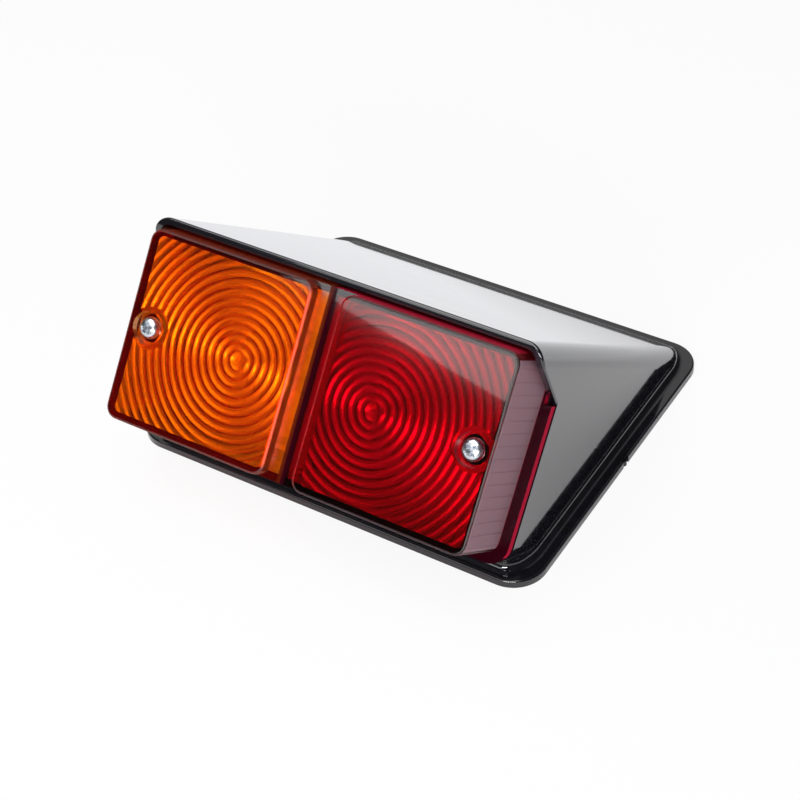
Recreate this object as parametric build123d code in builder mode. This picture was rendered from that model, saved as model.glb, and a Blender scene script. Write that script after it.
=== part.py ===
"""Tail light cluster: a two-colour lamp in a hooded wedge housing that bolts to a flat panel.

Frame: +Z up, the mounting face on Z = 0 with its centre at the origin, X along the lamp,
the lens facing -Y and up. Lens places are given as (u, v) on the lens plane, where u runs along X
and v up the lens, and as a depth behind the front of the lens. All sizes are in millimetres.
"""
from build123d import *

import os
from math import ceil, cos, hypot, radians, sin, tan

os.makedirs("parts", exist_ok=True)

# Lens face
LENS_TILT = 52.0
LENS_Z = 61.2
LENS_END_GAP = 2.0
LENS_TOP_GAP = 1.35
FACE_R = 4.5
FACE_T = 3.4
FACE_EDGE_R = 0.9
VALLEY_W = 11.2
VALLEY_DEPTH = 3.6
LENS_WALL = 2.4
LENS_DRAFT = 2.0
LENS_RIM_DEPTH = 27.5
LENS_RIM_T = 3.0

# Ring optics
RING_SHARE = 0.3194
RING_PITCH = 3.1
RING_HEIGHT = 0.45
CREST_SHARE = 0.5

# Lens screws
SCREW_INSET = 8.0
SCREW_R = 2.0
SCREW_LENGTH = 36.0
SCREW_HEAD_R = 4.0
SCREW_HEAD_H = 2.6
SCREW_SEAT_DEPTH = 2.4
SCREW_SEAT_R = 5.8
POST_R = 5.0
CUP_WALL = 1.8
CROSS_W = 1.1
CROSS_L = 4.6
CROSS_DEPTH = 1.6
HEAD_ROUND = 0.45
TIP_CHAMFER = 0.6

# Housing
BOX_W = 154.4
BOX_H = 76.4
BOX_R = 7.0
WALL = 2.6
HOOD_DEPTH = 6.0
CHEEK_TOP_DROP = 5.6
CHEEK_END_DROP = 19.7
CHEEK_R = 8.0
HOOD_EDGE_R = 0.8
HOOD_FRONT_SHARE = 0.25
LEDGE_W = 3.0
LEDGE_T = 3.0
LIP_END = 6.3
LIP_FRONT = 10.85
LIP_BACK = 3.06
FLANGE_R = 12.4
FLANGE_T = 3.0
FLANGE_EDGE_R = 0.8
FOOT_R = 3.0
BASE_T = 3.0
RIB_T = 2.0
GATE_Y = 3.1
GATE_L = 3.6
GATE_NOTCH = 0.9
GATE_R = 1.1

# Seals
SEAL_T = 1.5
SEAL_W = 2.6
BASE_SEAL_INSET = 3.0
BASE_SEAL_W = 3.0
BASE_SEAL_T = 1.2

# Base fixings and cable entry
INSERT_SPACING = 90.0
INSERT_R = 4.5
INSERT_BORE_R = 2.5
INSERT_L = 12.0
INSERT_BOSS_R = 8.0
INSERT_GROOVE_W = 2.4
INSERT_GROOVE_DEPTH = 0.5
GROMMET_Y = 30.0
GROMMET_BORE_R = 3.5
GROMMET_NECK_R = 7.0
GROMMET_LIP_R = 9.5
GROMMET_LIP_T = 2.2
GROMMET_POCKET = 3.0
GROMMET_PAD_R = 13.5
GROMMET_PAD_T = 3.5
GROMMET_TAPER = 20.0

# Bulb tray
TRAY_DEPTH = 50.0
TRAY_T = 2.0
TRAY_END_GAP = 1.0
TRAY_TOP_GAP = 1.6
TRAY_BOTTOM_GAP = 2.6
TRAY_WALL_H = 16.0
TRAY_WALL = 1.8
TRAY_SCREW_V = 16.0
TRAY_COLUMN_R = 4.5
TRAY_SCREW_R = 1.75
TRAY_SCREW_L = 14.0
TRAY_SCREW_HEAD_R = 3.75
TRAY_SCREW_HEAD_H = 2.4
BOWL_INSET = 0.5
BOWL_DEPTH = 13.0
BOWL_RISE = 12.0
BOWL_T = 1.5
BOWL_BEND_OUT = 0.65
BOWL_BEND_UP = 0.4

# Sockets and bulbs
SOCKET_R = 8.8
SOCKET_WALL = 1.0
SOCKET_LIP_R = 11.5
SOCKET_LIP_T = 1.5
SOCKET_L = 16.0
SLOT_W = 2.4
SLOT_SHIFT = 3.2
SLOT_ROOT_R = 5.8
PIN_SETBACK = 4.0
PIN_R = 1.0
CAP_RISE = 2.4
CAP_L = 12.4
TIP_R = 1.6
TIP_H = 1.6
GLASS_R = 12.4
GLASS_NECK_R = 6.6
GLASS_RISE = 20.6
GLASS_SHOULDER = 30.0
INSULATOR_T = 2.6
INSULATOR_LIP_T = 1.4
CONTACT_T = 0.6
CONTACT_W = 3.6
CONTACT_SHIFT = 2.8
CONTACT_INSET = 2.6
TAB_L = 9.0
STRIP_T = 0.8
STRIP_W = 6.3

# Clearances
SLIDE = 0.3
SNUG = 0.1
THREAD = 0.05
OVERCUT = 1.0

# Worked out from the sizes above
TILT = radians(LENS_TILT)
OUT = Vector(0, -sin(TILT), cos(TILT))
UP = Vector(0, cos(TILT), sin(TILT))
LENS_SPAN = BOX_W - 2 * (WALL + LENS_END_GAP)
FACE_W = (LENS_SPAN - VALLEY_W) / 2
FACE_H = BOX_H - 2 * (WALL + LENS_TOP_GAP)
FACE_U = (VALLEY_W + FACE_W) / 2
RING_U = VALLEY_W / 2 + RING_SHARE * FACE_W
RING_COUNT = ceil(hypot(LENS_SPAN / 2 - LENS_WALL - RING_U, FACE_H / 2 - LENS_WALL) / RING_PITCH)
SCREW_U = LENS_SPAN / 2 - SCREW_INSET
FLANGE_L = BOX_W + 2 * LIP_END
FLANGE_W = LIP_FRONT + LIP_BACK + BOX_H / cos(TILT)
LENS_Y = FLANGE_W / 2 - LIP_BACK - (BOX_H / 2 + (LENS_Z - FLANGE_T) * sin(TILT)) / cos(TILT)
CHEEK_TOP_V = BOX_H / 2 - CHEEK_TOP_DROP
CHEEK_END_V = BOX_H / 2 - CHEEK_END_DROP
RIM_DEPTH = LENS_RIM_DEPTH + SEAL_T
REACH = (LENS_Z + BOX_H) / cos(TILT)
SEAL_OUT_W = BOX_W - 2 * (WALL + SLIDE)
SEAL_OUT_H = BOX_H - 2 * (WALL + SLIDE)
SEAL_R = BOX_R - WALL - SLIDE
TRAY_W = BOX_W - 2 * (WALL + LEDGE_W + TRAY_END_GAP)
TRAY_TOP_V = BOX_H / 2 - WALL - LEDGE_W - TRAY_TOP_GAP
TRAY_BOTTOM_V = WALL + LEDGE_W + TRAY_BOTTOM_GAP - BOX_H / 2
TRAY_WALL_FRONT = TRAY_DEPTH - TRAY_WALL_H
BOWL_R = RING_U - BOWL_T - BOWL_INSET
SOCKET_BACK = TRAY_DEPTH + SOCKET_L
PIN_DEPTH = TRAY_DEPTH + PIN_SETBACK
CAP_FRONT = TRAY_DEPTH - CAP_RISE
GLASS_CENTRE = CAP_FRONT - GLASS_RISE
SOCKET_BORE_R = SOCKET_R - SOCKET_WALL
CAP_R = SOCKET_BORE_R - SLIDE
CAP_BACK = CAP_FRONT + CAP_L
CONTACT_DEPTH = CAP_BACK + TIP_H
TRAY_BACK = TRAY_DEPTH + TRAY_T
POST_FOOT = LENS_RIM_DEPTH + SLIDE
SCREW_HOLE = SCREW_SEAT_DEPTH + SCREW_LENGTH - LENS_RIM_DEPTH + OVERCUT
RIM_TOP_V = CHEEK_END_V - SLIDE
GROOVE_L = FLANGE_L - 2 * BASE_SEAL_INSET
GROOVE_W = FLANGE_W - 2 * BASE_SEAL_INSET
INSERT_PLACES = [(-INSERT_SPACING / 2, 0), (INSERT_SPACING / 2, 0)]
SCREW_PLACES = [(-SCREW_U, 0), (SCREW_U, 0)]
TRAY_SCREW_PLACES = [(-SCREW_U, TRAY_SCREW_V), (SCREW_U, TRAY_SCREW_V)]
SOCKET_PLACES = [(-RING_U, 0), (RING_U, 0)]
DIVIDER_FRONT = VALLEY_DEPTH + LENS_WALL + OVERCUT
CONTACT_LEG = SOCKET_BORE_R - CONTACT_INSET
TAB_END = SOCKET_BACK + INSULATOR_LIP_T + TAB_L


def lens_plane(depth):
    """The plane parallel to the lens face at a depth behind it, with +z out of the lamp."""
    origin = Vector(0, LENS_Y, LENS_Z) - OUT * depth
    return Plane(origin=origin, x_dir=(1, 0, 0), z_dir=OUT)


def side_plane():
    """The plane X = 0 read as (v, depth)."""
    return Plane(origin=(0, LENS_Y, LENS_Z), x_dir=UP, z_dir=(-1, 0, 0))


def axis_plane(u):
    """The plane across the lens through (u, 0) read as (radius, distance out of the lamp)."""
    return Plane(origin=(u, LENS_Y, LENS_Z), x_dir=(1, 0, 0), z_dir=-UP)


def lens_axis(u):
    """The line through (u, 0) square to the lens face."""
    return Axis((u, LENS_Y, LENS_Z), OUT)


def lens_up():
    """The direction up the lens."""
    return Axis((0, LENS_Y, LENS_Z), UP)


def is_hood_front(face):
    """True for the faces that end the hood and its cheeks: their normals lean towards the lens."""
    depth = (Vector(0, LENS_Y, LENS_Z) - face.center()).dot(OUT)
    return face.normal_at().dot(OUT) > HOOD_FRONT_SHARE and depth < RIM_DEPTH - HOOD_EDGE_R


def write(builder, name):
    """Labels a finished piece and writes its STEP file."""
    builder.part.label = name
    export_step(builder.part, f"parts/{name}.step")


# Housing: the space inside it, as a tool
with BuildPart() as hollow:
    with BuildSketch(lens_plane(RIM_DEPTH + LEDGE_T)):
        RectangleRounded(BOX_W - 2 * WALL, BOX_H - 2 * WALL, BOX_R - WALL)
    extrude(amount=-REACH)
    with BuildSketch(lens_plane(RIM_DEPTH)):
        RectangleRounded(BOX_W - 2 * (WALL + LEDGE_W), BOX_H - 2 * (WALL + LEDGE_W), BOX_R - WALL)
    extrude(amount=-LEDGE_T - OVERCUT)
    with BuildSketch(lens_plane(HOOD_DEPTH - OVERCUT)):
        RectangleRounded(BOX_W - 2 * WALL, BOX_H - 2 * WALL, BOX_R - WALL)
    extrude(amount=HOOD_DEPTH - OVERCUT - RIM_DEPTH)
    split(bisect_by=Plane.XY.offset(BASE_T), keep=Keep.TOP)

# Housing: the columns that take the lens and tray screws, each with a rib to the end wall
with BuildPart() as columns:
    with BuildSketch(lens_plane(POST_FOOT)):
        with Locations(*SCREW_PLACES):
            Circle(POST_R)
    extrude(amount=-REACH)
    with BuildSketch(lens_plane(TRAY_BACK)):
        with Locations(*TRAY_SCREW_PLACES):
            Circle(TRAY_COLUMN_R)
        for side in (-1, 1):
            for v in (0, TRAY_SCREW_V):
                with Locations((side * (SCREW_U + BOX_W / 2 - WALL) / 2, v)):
                    Rectangle(BOX_W / 2 - WALL - SCREW_U + RIB_T, RIB_T)
    extrude(amount=-REACH)
    split(bisect_by=Plane.XY.offset(BASE_T / 2), keep=Keep.TOP)

with BuildPart() as housing:
    with BuildSketch(lens_plane(HOOD_DEPTH)):
        RectangleRounded(BOX_W, BOX_H, BOX_R)
    extrude(amount=-REACH)
    split(bisect_by=Plane.XY.offset(FLANGE_T / 2), keep=Keep.TOP)
    with BuildSketch():
        RectangleRounded(FLANGE_L, FLANGE_W, FLANGE_R)
    extrude(amount=FLANGE_T)
    flange_top = housing.faces().filter_by(Axis.Z).sort_by(Axis.Z)[-1]
    fillet(flange_top.inner_wires()[0].edges(), radius=FOOT_R)
    flange_top = housing.faces().filter_by(Axis.Z).sort_by(Axis.Z)[-1]
    fillet(flange_top.outer_wire().edges(), radius=FLANGE_EDGE_R)
    with BuildSketch(side_plane()):
        with BuildLine():
            Polyline(
                (BOX_H, HOOD_DEPTH),
                (CHEEK_TOP_V, HOOD_DEPTH),
                (CHEEK_END_V, RIM_DEPTH),
                (-BOX_H, RIM_DEPTH),
                (-BOX_H, -OVERCUT),
                (BOX_H, -OVERCUT),
                close=True,
            )
        make_face()
        fillet(vertices().sort_by_distance((CHEEK_TOP_V, HOOD_DEPTH))[0], radius=CHEEK_R)
    extrude(amount=BOX_W, both=True, mode=Mode.SUBTRACT)
    hood_edges = housing.faces().filter_by(is_hood_front).edges()
    hood_top = hood_edges.filter_by(Axis.X).sort_by(lens_up())[-1:]
    fillet(hood_edges.filter_by(Axis.X, reverse=True) + hood_top, radius=HOOD_EDGE_R)
    add(hollow.part, mode=Mode.SUBTRACT)
    with BuildSketch():
        with Locations(*INSERT_PLACES):
            Circle(INSERT_BOSS_R)
    extrude(amount=INSERT_L + BASE_T)
    with BuildSketch():
        with Locations((0, GROMMET_Y)):
            Circle(GROMMET_PAD_R)
    extrude(amount=GROMMET_POCKET + GROMMET_PAD_T)
    add(columns.part)
    with BuildSketch(lens_plane(POST_FOOT)):
        with Locations(*SCREW_PLACES):
            Circle(SCREW_R + THREAD)
    extrude(amount=-SCREW_HOLE, mode=Mode.SUBTRACT)
    with BuildSketch(lens_plane(TRAY_BACK)):
        with Locations(*TRAY_SCREW_PLACES):
            Circle(TRAY_SCREW_R + THREAD)
    extrude(amount=-TRAY_SCREW_L, mode=Mode.SUBTRACT)
    with BuildSketch():
        with Locations(*INSERT_PLACES):
            Circle(INSERT_R + THREAD)
    extrude(amount=INSERT_L, mode=Mode.SUBTRACT)
    with BuildSketch():
        with Locations((0, GROMMET_Y)):
            Circle(GROMMET_LIP_R + OVERCUT)
    extrude(amount=GROMMET_POCKET, mode=Mode.SUBTRACT)
    with BuildSketch():
        with Locations((0, GROMMET_Y)):
            Circle(GROMMET_NECK_R)
    extrude(amount=GROMMET_POCKET + GROMMET_PAD_T, mode=Mode.SUBTRACT)
    with BuildSketch():
        RectangleRounded(GROOVE_L, GROOVE_W, FLANGE_R - BASE_SEAL_INSET)
        offset(amount=-BASE_SEAL_W, mode=Mode.SUBTRACT)
    extrude(amount=BASE_SEAL_T, mode=Mode.SUBTRACT)
    with BuildSketch():
        with Locations((FLANGE_L / 2, GATE_Y)):
            Rectangle(2 * GATE_NOTCH, GATE_L)
    extrude(amount=FLANGE_T, mode=Mode.SUBTRACT)
    with BuildSketch():
        with Locations((FLANGE_L / 2 - GATE_NOTCH, GATE_Y)):
            Circle(GATE_R)
    extrude(amount=FLANGE_T - FLANGE_EDGE_R)
write(housing, "housing")

with BuildPart() as base_seal:
    with BuildSketch():
        RectangleRounded(GROOVE_L - 2 * SNUG, GROOVE_W - 2 * SNUG, FLANGE_R - BASE_SEAL_INSET - SNUG)
        offset(amount=2 * SNUG - BASE_SEAL_W, mode=Mode.SUBTRACT)
    extrude(amount=BASE_SEAL_T)
write(base_seal, "base_seal")

with BuildPart() as mounting_inserts:
    with BuildSketch():
        with Locations(*INSERT_PLACES):
            Circle(INSERT_R)
    extrude(amount=INSERT_L)
    with BuildSketch(Plane.XY.offset((INSERT_L - INSERT_GROOVE_W) / 2)):
        with Locations(*INSERT_PLACES):
            Circle(INSERT_R)
            Circle(INSERT_R - INSERT_GROOVE_DEPTH, mode=Mode.SUBTRACT)
    extrude(amount=INSERT_GROOVE_W, mode=Mode.SUBTRACT)
    with BuildSketch():
        with Locations(*INSERT_PLACES):
            Circle(INSERT_BORE_R)
    extrude(amount=INSERT_L, mode=Mode.SUBTRACT)
write(mounting_inserts, "mounting_inserts")

with BuildPart() as cable_grommet:
    with BuildSketch(Plane.XY.offset(GROMMET_POCKET - GROMMET_LIP_T)):
        with Locations((0, GROMMET_Y)):
            Circle(GROMMET_LIP_R)
    extrude(amount=GROMMET_LIP_T)
    with BuildSketch(Plane.XY.offset(GROMMET_POCKET)):
        with Locations((0, GROMMET_Y)):
            Circle(GROMMET_NECK_R - SNUG)
    extrude(amount=GROMMET_PAD_T)
    with BuildSketch(Plane.XY.offset(GROMMET_POCKET + GROMMET_PAD_T)):
        with Locations((0, GROMMET_Y)):
            Circle(GROMMET_LIP_R)
    extrude(amount=GROMMET_LIP_T, taper=GROMMET_TAPER)
    with BuildSketch():
        with Locations((0, GROMMET_Y)):
            Circle(GROMMET_BORE_R)
    extrude(amount=GROMMET_POCKET + GROMMET_PAD_T + GROMMET_LIP_T, mode=Mode.SUBTRACT)
write(cable_grommet, "cable_grommet")

with BuildPart() as lens_seal:
    with BuildSketch(lens_plane(LENS_RIM_DEPTH)):
        RectangleRounded(SEAL_OUT_W, SEAL_OUT_H, SEAL_R)
        offset(amount=-SEAL_W, mode=Mode.SUBTRACT)
    extrude(amount=-SEAL_T)
write(lens_seal, "lens_seal")


def ring_tool(u):
    """The space behind one lens face, whose front end is a cone with the ring beads round it."""
    back = -LENS_RIM_DEPTH - OVERCUT
    with BuildPart() as rings:
        with BuildSketch(axis_plane(u)):
            grooves = [(k * RING_PITCH, RING_HEIGHT - FACE_T) for k in range(1, RING_COUNT + 1)]
            crests = [((k + CREST_SHARE) * RING_PITCH, -FACE_T) for k in range(1, RING_COUNT + 1)]
            beads = [point for pair in zip(grooves, crests) for point in pair]
            with BuildLine():
                Polyline((0, back), (0, -FACE_T), *beads, (crests[-1][0], back), close=True)
            make_face()
        revolve(axis=lens_axis(u))
        with BuildSketch(lens_plane(0)):
            with Locations((FACE_U if u > 0 else -FACE_U, 0)):
                RectangleRounded(FACE_W - 2 * LENS_WALL, FACE_H - 2 * LENS_WALL, FACE_R - LENS_WALL)
        extrude(amount=back, mode=Mode.INTERSECT)
    return rings.part


def lens_half(side):
    """One colour of the lens: side -1 is amber, side +1 is red. The halves meet at X = 0."""
    spread = tan(radians(LENS_DRAFT))
    with BuildPart() as half:
        with BuildSketch(lens_plane(LENS_RIM_DEPTH)):
            grown = LENS_RIM_DEPTH * spread
            RectangleRounded(LENS_SPAN + 2 * grown, FACE_H + 2 * grown, FACE_R + grown)
        extrude(amount=LENS_RIM_DEPTH - VALLEY_DEPTH, taper=LENS_DRAFT)
        with BuildSketch(lens_plane(VALLEY_DEPTH)):
            grown = VALLEY_DEPTH * spread
            with Locations((side * FACE_U, 0)):
                RectangleRounded(FACE_W + 2 * grown, FACE_H + 2 * grown, FACE_R + grown)
        extrude(amount=VALLEY_DEPTH, taper=LENS_DRAFT)
        split(bisect_by=Plane.YZ, keep=Keep.TOP if side > 0 else Keep.BOTTOM)
        face = half.faces().sort_by(lens_axis(0))[-1]
        fillet(face.outer_wire().edges(), radius=FACE_EDGE_R)
        with BuildSketch(lens_plane(LENS_RIM_DEPTH)):
            with Locations((side * BOX_W / 4, (RIM_TOP_V - BOX_H / 2) / 2)):
                Rectangle(BOX_W / 2, RIM_TOP_V + BOX_H / 2)
            outer_corner = vertices().group_by(lens_up())[0].sort_by(Axis.X)[-1 if side > 0 else 0]
            fillet(outer_corner, radius=BOX_R)
            RectangleRounded(SEAL_OUT_W, SEAL_OUT_H, SEAL_R)
            split(bisect_by=Plane.YZ, keep=Keep.TOP if side > 0 else Keep.BOTTOM)
        extrude(amount=LENS_RIM_T)
        with BuildSketch(lens_plane(VALLEY_DEPTH + LENS_WALL)):
            Rectangle(VALLEY_W + 2 * LENS_WALL, FACE_H - 2 * LENS_WALL)
        extrude(amount=-LENS_RIM_DEPTH, mode=Mode.SUBTRACT)
        add(ring_tool(side * RING_U), mode=Mode.SUBTRACT)
        with BuildSketch(lens_plane(0)):
            with Locations((side * SCREW_U, 0)):
                Circle(SCREW_SEAT_R + CUP_WALL)
        extrude(amount=-SCREW_SEAT_DEPTH - LENS_WALL)
        with BuildSketch(lens_plane(0)):
            with Locations((side * SCREW_U, 0)):
                Circle(POST_R)
        extrude(amount=-LENS_RIM_DEPTH)
        with BuildSketch(lens_plane(0)):
            with Locations((side * SCREW_U, 0)):
                Circle(SCREW_SEAT_R)
        extrude(amount=-SCREW_SEAT_DEPTH, mode=Mode.SUBTRACT)
        with BuildSketch(lens_plane(0)):
            with Locations((side * SCREW_U, 0)):
                Circle(SCREW_R + SLIDE)
        extrude(amount=-LENS_RIM_DEPTH, mode=Mode.SUBTRACT)
    return half


write(lens_half(-1), "amber_lens")
write(lens_half(1), "red_lens")


def pan_screws(depth, places, shank_r, length, head_r, head_h):
    """Pan-head cross-recess screws whose heads sit on the plane at a depth."""
    with BuildPart() as screws:
        with BuildSketch(lens_plane(depth)):
            with Locations(*places):
                Circle(head_r)
        extrude(amount=head_h)
        fillet(screws.edges().group_by(lens_axis(0))[-1], radius=head_h * HEAD_ROUND)
        with BuildSketch(lens_plane(depth)):
            with Locations(*places):
                Circle(shank_r)
        extrude(amount=-length)
        chamfer(screws.edges().group_by(lens_axis(0))[0], length=shank_r * TIP_CHAMFER)
        with BuildSketch(lens_plane(depth - head_h)):
            with Locations(*places):
                Rectangle(CROSS_L, CROSS_W)
                Rectangle(CROSS_W, CROSS_L)
        extrude(amount=-CROSS_DEPTH, mode=Mode.SUBTRACT)
    return screws


write(
    pan_screws(SCREW_SEAT_DEPTH, SCREW_PLACES, SCREW_R, SCREW_LENGTH, SCREW_HEAD_R, SCREW_HEAD_H),
    "lens_screws",
)
write(
    pan_screws(
        TRAY_DEPTH,
        TRAY_SCREW_PLACES,
        TRAY_SCREW_R,
        TRAY_SCREW_L,
        TRAY_SCREW_HEAD_R,
        TRAY_SCREW_HEAD_H,
    ),
    "tray_screws",
)

# Bulb tray: back plate, rim walls notched for the screw columns, two bowls, the wall between the lights
with BuildPart() as bulb_tray:
    tray_h = TRAY_TOP_V - TRAY_BOTTOM_V
    tray_v = (TRAY_TOP_V + TRAY_BOTTOM_V) / 2
    with BuildSketch(lens_plane(TRAY_WALL_FRONT)):
        with Locations((0, tray_v)):
            RectangleRounded(TRAY_W, tray_h, BOX_R)
    extrude(amount=TRAY_WALL_FRONT - TRAY_BACK)
    with BuildSketch(lens_plane(TRAY_WALL_FRONT)):
        with Locations((0, tray_v)):
            RectangleRounded(TRAY_W - 2 * TRAY_WALL, tray_h - 2 * TRAY_WALL, BOX_R - TRAY_WALL)
    extrude(amount=TRAY_WALL_FRONT - TRAY_DEPTH, mode=Mode.SUBTRACT)
    for u in (-RING_U, RING_U):
        with BuildSketch(axis_plane(u)):
            inner = BOWL_R - BOWL_RISE
            middle = inner + BOWL_RISE * BOWL_BEND_OUT
            floor = -TRAY_DEPTH
            brim = floor + BOWL_DEPTH
            waist = floor + BOWL_DEPTH * BOWL_BEND_UP
            with BuildLine():
                ThreePointArc((inner, floor), (middle, waist), (BOWL_R, brim))
                Line((BOWL_R, brim), (BOWL_R + BOWL_T, brim))
                ThreePointArc((BOWL_R + BOWL_T, brim), (middle + BOWL_T, waist), (inner + BOWL_T, floor))
                Line((inner + BOWL_T, floor), (inner, floor))
            make_face()
        revolve(axis=lens_axis(u))
    with BuildSketch(lens_plane(DIVIDER_FRONT)):
        with Locations((0, tray_v)):
            Rectangle(TRAY_WALL, tray_h - TRAY_WALL)
    extrude(amount=DIVIDER_FRONT - TRAY_BACK)
    with BuildSketch(lens_plane(TRAY_WALL_FRONT)):
        with Locations(*SCREW_PLACES):
            Circle(POST_R + SLIDE)
        for side in (-1, 1):
            with Locations((side * (SCREW_U + TRAY_W / 2) / 2, 0)):
                Rectangle(TRAY_W / 2 - SCREW_U, 2 * (POST_R + SLIDE))
    extrude(amount=TRAY_WALL_FRONT - TRAY_BACK, mode=Mode.SUBTRACT)
    with BuildSketch(lens_plane(TRAY_DEPTH)):
        with Locations(*TRAY_SCREW_PLACES):
            Circle(TRAY_SCREW_R + SLIDE)
        with Locations(*SOCKET_PLACES):
            Circle(SOCKET_R + SNUG)
    extrude(amount=-TRAY_T, mode=Mode.SUBTRACT)
write(bulb_tray, "bulb_tray")


def socket(u):
    """A bayonet shell pressed through the tray, with two J slots for the bulb's pins."""
    with BuildPart() as shell:
        with BuildSketch(lens_plane(TRAY_DEPTH - SOCKET_LIP_T)):
            with Locations((u, 0)):
                Circle(SOCKET_LIP_R)
        extrude(amount=-SOCKET_LIP_T)
        with BuildSketch(lens_plane(TRAY_DEPTH - SOCKET_LIP_T)):
            with Locations((u, 0)):
                Circle(SOCKET_R)
        extrude(amount=TRAY_DEPTH - SOCKET_LIP_T - SOCKET_BACK)
        with BuildSketch(lens_plane(TRAY_DEPTH - SOCKET_LIP_T)):
            with Locations((u, 0)):
                Circle(SOCKET_BORE_R)
        extrude(amount=TRAY_DEPTH - SOCKET_LIP_T - SOCKET_BACK, mode=Mode.SUBTRACT)
        for side in (-1, 1):
            origin = Vector(u, LENS_Y, LENS_Z) + UP * side * SLOT_ROOT_R
            slot_end = PIN_DEPTH + SLOT_W / 2
            slot_front = TRAY_DEPTH - SOCKET_LIP_T - OVERCUT
            with BuildSketch(Plane(origin=origin, x_dir=(side, 0, 0), z_dir=UP * side)):
                with Locations((SLOT_SHIFT, (slot_front + slot_end) / 2)):
                    Rectangle(SLOT_W, slot_end - slot_front)
                with Locations((SLOT_SHIFT / 2, PIN_DEPTH)):
                    Rectangle(SLOT_SHIFT + SLOT_W, SLOT_W)
            extrude(amount=SOCKET_R + SNUG - SLOT_ROOT_R, mode=Mode.SUBTRACT)
    return shell


def insulator(u, legs):
    """The plug in the back of a socket, slotted for its contacts at the given v places."""
    with BuildPart() as plug:
        with BuildSketch(lens_plane(SOCKET_BACK - INSULATOR_T)):
            with Locations((u, 0)):
                Circle(SOCKET_BORE_R - SNUG)
        extrude(amount=-INSULATOR_T)
        with BuildSketch(lens_plane(SOCKET_BACK)):
            with Locations((u, 0)):
                Circle(SOCKET_R)
        extrude(amount=-INSULATOR_LIP_T)
        with BuildSketch(lens_plane(SOCKET_BACK - INSULATOR_T)):
            for v in legs:
                with Locations((u, v)):
                    Rectangle(CONTACT_W + 2 * SNUG, CONTACT_T + 2 * SNUG)
        extrude(amount=-INSULATOR_T - INSULATOR_LIP_T, mode=Mode.SUBTRACT)
    return plug


def contact(u, side, inner):
    """A bent strip: its foot bears on the bulb's tip, its leg runs back through the insulator."""
    with BuildPart() as strip:
        with BuildSketch(side_plane().offset(-u)):
            leg = side * CONTACT_LEG
            half_t = side * CONTACT_T / 2
            with BuildLine():
                Polyline(
                    (inner, CONTACT_DEPTH),
                    (leg + half_t, CONTACT_DEPTH),
                    (leg + half_t, TAB_END),
                    (leg - half_t, TAB_END),
                    (leg - half_t, CONTACT_DEPTH + CONTACT_T),
                    (inner, CONTACT_DEPTH + CONTACT_T),
                    close=True,
                )
            make_face()
        extrude(amount=CONTACT_W / 2, both=True)
    return strip


def bulb_cap(u, tips):
    """A bayonet cap with two pins and the solder tips at the given v places."""
    with BuildPart() as cap:
        with BuildSketch(lens_plane(CAP_FRONT)):
            with Locations((u, 0)):
                Circle(CAP_R)
        extrude(amount=-CAP_L)
        with BuildSketch(lens_plane(CAP_BACK)):
            for v in tips:
                with Locations((u, v)):
                    Circle(TIP_R)
        extrude(amount=-TIP_H)
        pin_centre = Vector(u, LENS_Y, LENS_Z) - OUT * PIN_DEPTH
        with BuildSketch(Plane(origin=pin_centre, x_dir=(1, 0, 0), z_dir=UP)):
            Circle(PIN_R)
        extrude(amount=SOCKET_R, both=True)
    return cap


def bulb_glass(u):
    """A pear-shaped envelope: a ball, a cone tangent to it and a straight neck."""
    shoulder = radians(GLASS_SHOULDER)
    ball_r = GLASS_R * cos(shoulder)
    ball_w = -GLASS_CENTRE - GLASS_R * sin(shoulder)
    neck_w = ball_w - (ball_r - GLASS_NECK_R) / tan(shoulder)
    with BuildPart() as glass:
        with BuildSketch(axis_plane(u)):
            with BuildLine():
                Polyline(
                    (0, -CAP_FRONT),
                    (GLASS_NECK_R, -CAP_FRONT),
                    (GLASS_NECK_R, neck_w),
                    (ball_r, ball_w),
                )
                ThreePointArc((ball_r, ball_w), (GLASS_R, -GLASS_CENTRE), (0, GLASS_R - GLASS_CENTRE))
                Line((0, GLASS_R - GLASS_CENTRE), (0, -CAP_FRONT))
            make_face()
        revolve(axis=lens_axis(u))
    return glass


write(socket(-RING_U), "indicator_socket")
write(socket(RING_U), "stop_tail_socket")
write(insulator(-RING_U, [CONTACT_LEG]), "indicator_insulator")
write(insulator(RING_U, [-CONTACT_LEG, CONTACT_LEG]), "stop_tail_insulator")
write(contact(-RING_U, 1, -TIP_R), "indicator_contact")
write(contact(RING_U, 1, CONTACT_SHIFT - TIP_R), "stop_contact")
write(contact(RING_U, -1, TIP_R - CONTACT_SHIFT), "tail_contact")
write(bulb_cap(-RING_U, [0]), "indicator_bulb_cap")
write(bulb_cap(RING_U, [-CONTACT_SHIFT, CONTACT_SHIFT]), "stop_tail_bulb_cap")
write(bulb_glass(-RING_U), "indicator_bulb_glass")
write(bulb_glass(RING_U), "stop_tail_bulb_glass")

# Earth strip: two eyes round the sockets, a bar between them and a tab bent backwards
with BuildPart() as earth_strip:
    with BuildSketch(lens_plane(TRAY_BACK)):
        Rectangle(2 * RING_U, STRIP_W)
        with Locations(*SOCKET_PLACES):
            Circle(SOCKET_LIP_R)
        with Locations(*SOCKET_PLACES):
            Circle(SOCKET_R + SNUG, mode=Mode.SUBTRACT)
    extrude(amount=-STRIP_T)
    with BuildSketch(lens_plane(TRAY_BACK)):
        with Locations((0, (STRIP_W - STRIP_T) / 2)):
            Rectangle(STRIP_W, STRIP_T)
    extrude(amount=-STRIP_T - TAB_L)
write(earth_strip, "earth_strip")
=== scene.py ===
# %% [markdown]
# A tail light cluster: an amber and a red lens side by side in a glossy black hooded housing. The solid
# model is loaded first and never moved. It gives every place and size, and this script gives each piece
# its finish, then adds the pieces whose detail is too fine for the solids.

# %% Load the solid model
from math import cos, radians, sin, tan

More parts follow.
